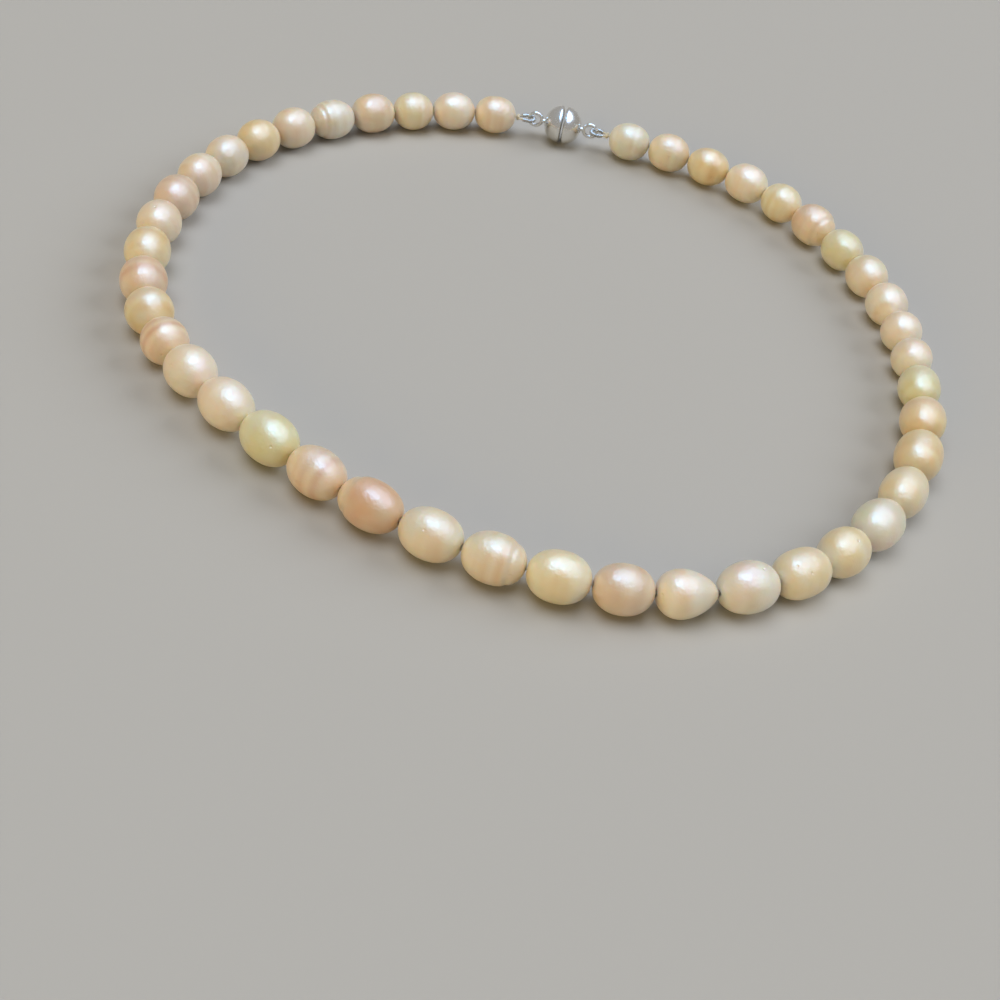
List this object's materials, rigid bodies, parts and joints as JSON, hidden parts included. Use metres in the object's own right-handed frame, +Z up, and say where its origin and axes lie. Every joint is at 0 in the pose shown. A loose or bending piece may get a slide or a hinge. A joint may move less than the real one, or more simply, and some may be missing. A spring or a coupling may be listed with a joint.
{
  "type": "pearl necklace",
  "caption": "Short necklace of slightly uneven drop, oval and egg-shaped freshwater pearls on silk thread, laid flat in a loop and closed by a round magnetic clasp.",
  "frame": {"origin": "centre of the loop's box, on the surface that the pearls lie on", "axes": "+Z up from that surface; -Y towards the front of the strand; the clasp is at +Y; +X to the wearer's left"},
  "size_m": [0.1382, 0.1334, 0.0077],
  "materials": {
    "nacre_cream": "satin nacre, cream",
    "nacre_rose": "satin nacre, rose",
    "nacre_ivory": "satin nacre, ivory",
    "nacre_peach": "satin nacre, peach",
    "nacre_silver": "satin nacre, silver",
    "nacre_gold": "satin nacre, gold",
    "nacre_mauve": "satin nacre, mauve",
    "nacre_green": "satin nacre, green",
    "silk": "twisted silk",
    "silver": "polished silver plate",
    "silver_wire": "coiled silver-plated wire",
    "magnet_plating": "nickel plate"
  },
  "bodies": {
    "front": {"pearl_23": "nacre_ivory", "thread": "silk"},
    "strand_01": {"pearl_01": "nacre_cream", "gimp_left": "silver_wire"},
    "strand_02": {"pearl_02": "nacre_rose"},
    "strand_03": {"pearl_03": "nacre_ivory"},
    "strand_04": {"pearl_04": "nacre_peach"},
    "strand_05": {"pearl_05": "nacre_silver"},
    "strand_06": {"pearl_06": "nacre_cream"},
    "strand_07": {"pearl_07": "nacre_gold"},
    "strand_08": {"pearl_08": "nacre_cream"},
    "strand_09": {"pearl_09": "nacre_cream"},
    "strand_10": {"pearl_10": "nacre_mauve"},
    "strand_11": {"pearl_11": "nacre_cream"},
    "strand_12": {"pearl_12": "nacre_gold"},
    "strand_13": {"pearl_13": "nacre_peach"},
    "strand_14": {"pearl_14": "nacre_gold"},
    "strand_15": {"pearl_15": "nacre_peach"},
    "strand_16": {"pearl_16": "nacre_rose"},
    "strand_17": {"pearl_17": "nacre_rose"},
    "strand_18": {"pearl_18": "nacre_green"},
    "strand_19": {"pearl_19": "nacre_peach"},
    "strand_20": {"pearl_20": "nacre_peach"},
    "strand_21": {"pearl_21": "nacre_cream"},
    "strand_22": {"pearl_22": "nacre_cream"},
    "strand_24": {"pearl_24": "nacre_mauve"},
    "strand_25": {"pearl_25": "nacre_rose"},
    "strand_26": {"pearl_26": "nacre_silver"},
    "strand_27": {"pearl_27": "nacre_ivory"},
    "strand_28": {"pearl_28": "nacre_ivory"},
    "strand_29": {"pearl_29": "nacre_silver"},
    "strand_30": {"pearl_30": "nacre_ivory"},
    "strand_31": {"pearl_31": "nacre_gold"},
    "strand_32": {"pearl_32": "nacre_gold"},
    "strand_33": {"pearl_33": "nacre_green"},
    "strand_34": {"pearl_34": "nacre_rose"},
    "strand_35": {"pearl_35": "nacre_rose"},
    "strand_36": {"pearl_36": "nacre_rose"},
    "strand_37": {"pearl_37": "nacre_cream"},
    "strand_38": {"pearl_38": "nacre_green"},
    "strand_39": {"pearl_39": "nacre_peach"},
    "strand_40": {"pearl_40": "nacre_ivory"},
    "strand_41": {"pearl_41": "nacre_rose"},
    "strand_42": {"pearl_42": "nacre_gold"},
    "strand_43": {"pearl_43": "nacre_cream"},
    "strand_44": {"pearl_44": "nacre_silver", "gimp_right": "silver_wire"},
    "clasp_left": {"clasp_cup_left": "silver", "clasp_magnet_left": "magnet_plating", "clasp_eye_left": "silver"},
    "clasp_right": {"clasp_cup_right": "silver", "clasp_magnet_right": "magnet_plating", "clasp_eye_right": "silver"}
  },
  "joints": [
    {"name": "swing_01", "type": "hinge", "parent": "strand_02", "child": "strand_01", "pos_m": [-0.01544, 0.06247, 0.00367], "axis": [0, 0, 1], "range_deg": [0, 20]},
    {"name": "lift_02", "type": "hinge", "parent": "strand_03", "child": "strand_02", "pos_m": [-0.02379, 0.06024, 0.00367], "axis": [0.3198, -0.9475, 0], "range_deg": [-12, 12]},
    {"name": "swing_03", "type": "hinge", "parent": "strand_04", "child": "strand_03", "pos_m": [-0.03141, 0.05708, 0.0037], "axis": [0, 0, 1], "range_deg": [0, 20]},
    {"name": "lift_04", "type": "hinge", "parent": "strand_05", "child": "strand_04", "pos_m": [-0.039, 0.05273, 0.00373], "axis": [0.5563, -0.831, 0], "range_deg": [-12, 12]},
    {"name": "swing_05", "type": "hinge", "parent": "strand_06", "child": "strand_05", "pos_m": [-0.04616, 0.04721, 0.00375], "axis": [0, 0, 1], "range_deg": [0, 20]},
    {"name": "lift_06", "type": "hinge", "parent": "strand_07", "child": "strand_06", "pos_m": [-0.05205, 0.04116, 0.00378], "axis": [0.7679, -0.6405, 0], "range_deg": [-12, 12]},
    {"name": "swing_07", "type": "hinge", "parent": "strand_08", "child": "strand_07", "pos_m": [-0.05707, 0.03413, 0.00373], "axis": [0, 0, 1], "range_deg": [0, 20]},
    {"name": "lift_08", "type": "hinge", "parent": "strand_09", "child": "strand_08", "pos_m": [-0.06082, 0.02667, 0.00373], "axis": [0.9251, -0.3797, 0], "range_deg": [-12, 12]},
    {"name": "swing_09", "type": "hinge", "parent": "strand_10", "child": "strand_09", "pos_m": [-0.06358, 0.01827, 0.00378], "axis": [0, 0, 1], "range_deg": [0, 20]},
    {"name": "lift_10", "type": "hinge", "parent": "strand_11", "child": "strand_10", "pos_m": [-0.06511, 0.00986, 0.00378], "axis": [0.9933, -0.1157, 0], "range_deg": [-12, 12]},
    {"name": "swing_11", "type": "hinge", "parent": "strand_12", "child": "strand_11", "pos_m": [-0.06554, 0.00143, 0.00378], "axis": [0, 0, 1], "range_deg": [0, 20]},
    {"name": "lift_12", "type": "hinge", "parent": "strand_13", "child": "strand_12", "pos_m": [-0.06476, -0.00728, 0.00382], "axis": [0.9849, 0.173, 0], "range_deg": [-12, 12]},
    {"name": "swing_13", "type": "hinge", "parent": "strand_14", "child": "strand_13", "pos_m": [-0.06258, -0.01543, 0.00385], "axis": [0, 0, 1], "range_deg": [0, 20]},
    {"name": "lift_14", "type": "hinge", "parent": "strand_15", "child": "strand_14", "pos_m": [-0.05911, -0.02246, 0.0038], "axis": [0.8543, 0.5199, 0], "range_deg": [-12, 12]},
    {"name": "swing_15", "type": "hinge", "parent": "strand_16", "child": "strand_15", "pos_m": [-0.05456, -0.02861, 0.0038], "axis": [0, 0, 1], "range_deg": [0, 20]},
    {"name": "lift_16", "type": "hinge", "parent": "strand_17", "child": "strand_16", "pos_m": [-0.04853, -0.0348, 0.00382], "axis": [0.6805, 0.7327, 0], "range_deg": [-12, 12]},
    {"name": "swing_17", "type": "hinge", "parent": "strand_18", "child": "strand_17", "pos_m": [-0.04125, -0.04098, 0.0038], "axis": [0, 0, 1], "range_deg": [0, 20]},
    {"name": "lift_18", "type": "hinge", "parent": "strand_19", "child": "strand_18", "pos_m": [-0.03363, -0.04673, 0.00373], "axis": [0.5768, 0.8169, 0], "range_deg": [-12, 12]},
    {"name": "swing_19", "type": "hinge", "parent": "strand_20", "child": "strand_19", "pos_m": [-0.02582, -0.05187, 0.00367], "axis": [0, 0, 1], "range_deg": [0, 20]},
    {"name": "lift_20", "type": "hinge", "parent": "strand_21", "child": "strand_20", "pos_m": [-0.01702, -0.05649, 0.0037], "axis": [0.4111, 0.9116, 0], "range_deg": [-12, 12]},
    {"name": "swing_21", "type": "hinge", "parent": "strand_22", "child": "strand_21", "pos_m": [-0.00819, -0.05982, 0.0037], "axis": [0, 0, 1], "range_deg": [0, 20]},
    {"name": "lift_22", "type": "hinge", "parent": "front", "child": "strand_22", "pos_m": [0.00079, -0.06202, 0.00373], "axis": [0.1812, 0.9834, 0], "range_deg": [-12, 12]},
    {"name": "swing_23", "type": "hinge", "parent": "front", "child": "strand_24", "pos_m": [0.00987, -0.06315, 0.0037], "axis": [0, 0, -1], "range_deg": [0, 20], "deforming": ["thread"]},
    {"name": "swing_24", "type": "hinge", "parent": "strand_24", "child": "strand_25", "pos_m": [0.01861, -0.06301, 0.0036], "axis": [0, 0, -1], "range_deg": [0, 20]},
    {"name": "lift_25", "type": "hinge", "parent": "strand_25", "child": "strand_26", "pos_m": [0.02747, -0.06126, 0.00367], "axis": [-0.298, 0.9546, 0], "range_deg": [-12, 12]},
    {"name": "swing_26", "type": "hinge", "parent": "strand_26", "child": "strand_27", "pos_m": [0.03614, -0.05753, 0.00373], "axis": [0, 0, -1], "range_deg": [0, 20]},
    {"name": "lift_27", "type": "hinge", "parent": "strand_27", "child": "strand_28", "pos_m": [0.04353, -0.05252, 0.00365], "axis": [-0.626, 0.7798, 0], "range_deg": [-12, 12]},
    {"name": "swing_28", "type": "hinge", "parent": "strand_28", "child": "strand_29", "pos_m": [0.04995, -0.04644, 0.0037], "axis": [0, 0, -1], "range_deg": [0, 20]},
    {"name": "lift_29", "type": "hinge", "parent": "strand_29", "child": "strand_30", "pos_m": [0.05582, -0.03879, 0.0037], "axis": [-0.8415, 0.5402, 0], "range_deg": [-12, 12]},
    {"name": "swing_30", "type": "hinge", "parent": "strand_30", "child": "strand_31", "pos_m": [0.06044, -0.03011, 0.00375], "axis": [0, 0, -1], "range_deg": [0, 20]},
    {"name": "lift_31", "type": "hinge", "parent": "strand_31", "child": "strand_32", "pos_m": [0.06361, -0.02059, 0.0038], "axis": [-0.9691, 0.2467, 0], "range_deg": [-12, 12]},
    {"name": "swing_32", "type": "hinge", "parent": "strand_32", "child": "strand_33", "pos_m": [0.0652, -0.01138, 0.00365], "axis": [0, 0, -1], "range_deg": [0, 20]},
    {"name": "lift_33", "type": "hinge", "parent": "strand_33", "child": "strand_34", "pos_m": [0.06567, -0.00255, 0.00355], "axis": [-0.9999, 0.0101, 0], "range_deg": [-12, 12]},
    {"name": "swing_34", "type": "hinge", "parent": "strand_34", "child": "strand_35", "pos_m": [0.06537, 0.005, 0.0036], "axis": [0, 0, -1], "range_deg": [0, 20]},
    {"name": "lift_35", "type": "hinge", "parent": "strand_35", "child": "strand_36", "pos_m": [0.06439, 0.01248, 0.00367], "axis": [-0.9826, -0.1859, 0], "range_deg": [-12, 12]},
    {"name": "swing_36", "type": "hinge", "parent": "strand_36", "child": "strand_37", "pos_m": [0.0624, 0.0207, 0.00373], "axis": [0, 0, -1], "range_deg": [0, 20]},
    {"name": "lift_37", "type": "hinge", "parent": "strand_37", "child": "strand_38", "pos_m": [0.05927, 0.02886, 0.00373], "axis": [-0.9064, -0.4225, 0], "range_deg": [-12, 12]},
    {"name": "swing_38", "type": "hinge", "parent": "strand_38", "child": "strand_39", "pos_m": [0.05511, 0.03633, 0.00375], "axis": [0, 0, -1], "range_deg": [0, 20]},
    {"name": "lift_39", "type": "hinge", "parent": "strand_39", "child": "strand_40", "pos_m": [0.04969, 0.04343, 0.00375], "axis": [-0.7487, -0.6629, 0], "range_deg": [-12, 12]},
    {"name": "swing_40", "type": "hinge", "parent": "strand_40", "child": "strand_41", "pos_m": [0.04369, 0.04923, 0.00373], "axis": [0, 0, -1], "range_deg": [0, 20]},
    {"name": "lift_41", "type": "hinge", "parent": "strand_41", "child": "strand_42", "pos_m": [0.0365, 0.0542, 0.0037], "axis": [-0.4929, -0.8701, 0], "range_deg": [-12, 12]},
    {"name": "swing_42", "type": "hinge", "parent": "strand_42", "child": "strand_43", "pos_m": [0.02863, 0.05776, 0.00367], "axis": [0, 0, -1], "range_deg": [0, 20]},
    {"name": "lift_43", "type": "hinge", "parent": "strand_43", "child": "strand_44", "pos_m": [0.02052, 0.06013, 0.00367], "axis": [-0.2196, -0.9756, 0], "range_deg": [-12, 12]},
    {"name": "clasp_swivel_left", "type": "hinge", "parent": "strand_01", "child": "clasp_left", "pos_m": [-0.00296, 0.06353, 0.0038], "axis": [-0.9945, 0.1052, 0], "range_deg": [-25, 25]},
    {"name": "clasp_swivel_right", "type": "hinge", "parent": "strand_44", "child": "clasp_right", "pos_m": [0.00827, 0.06235, 0.0038], "axis": [0.9945, -0.1052, 0], "range_deg": [-25, 25]}
  ]
}
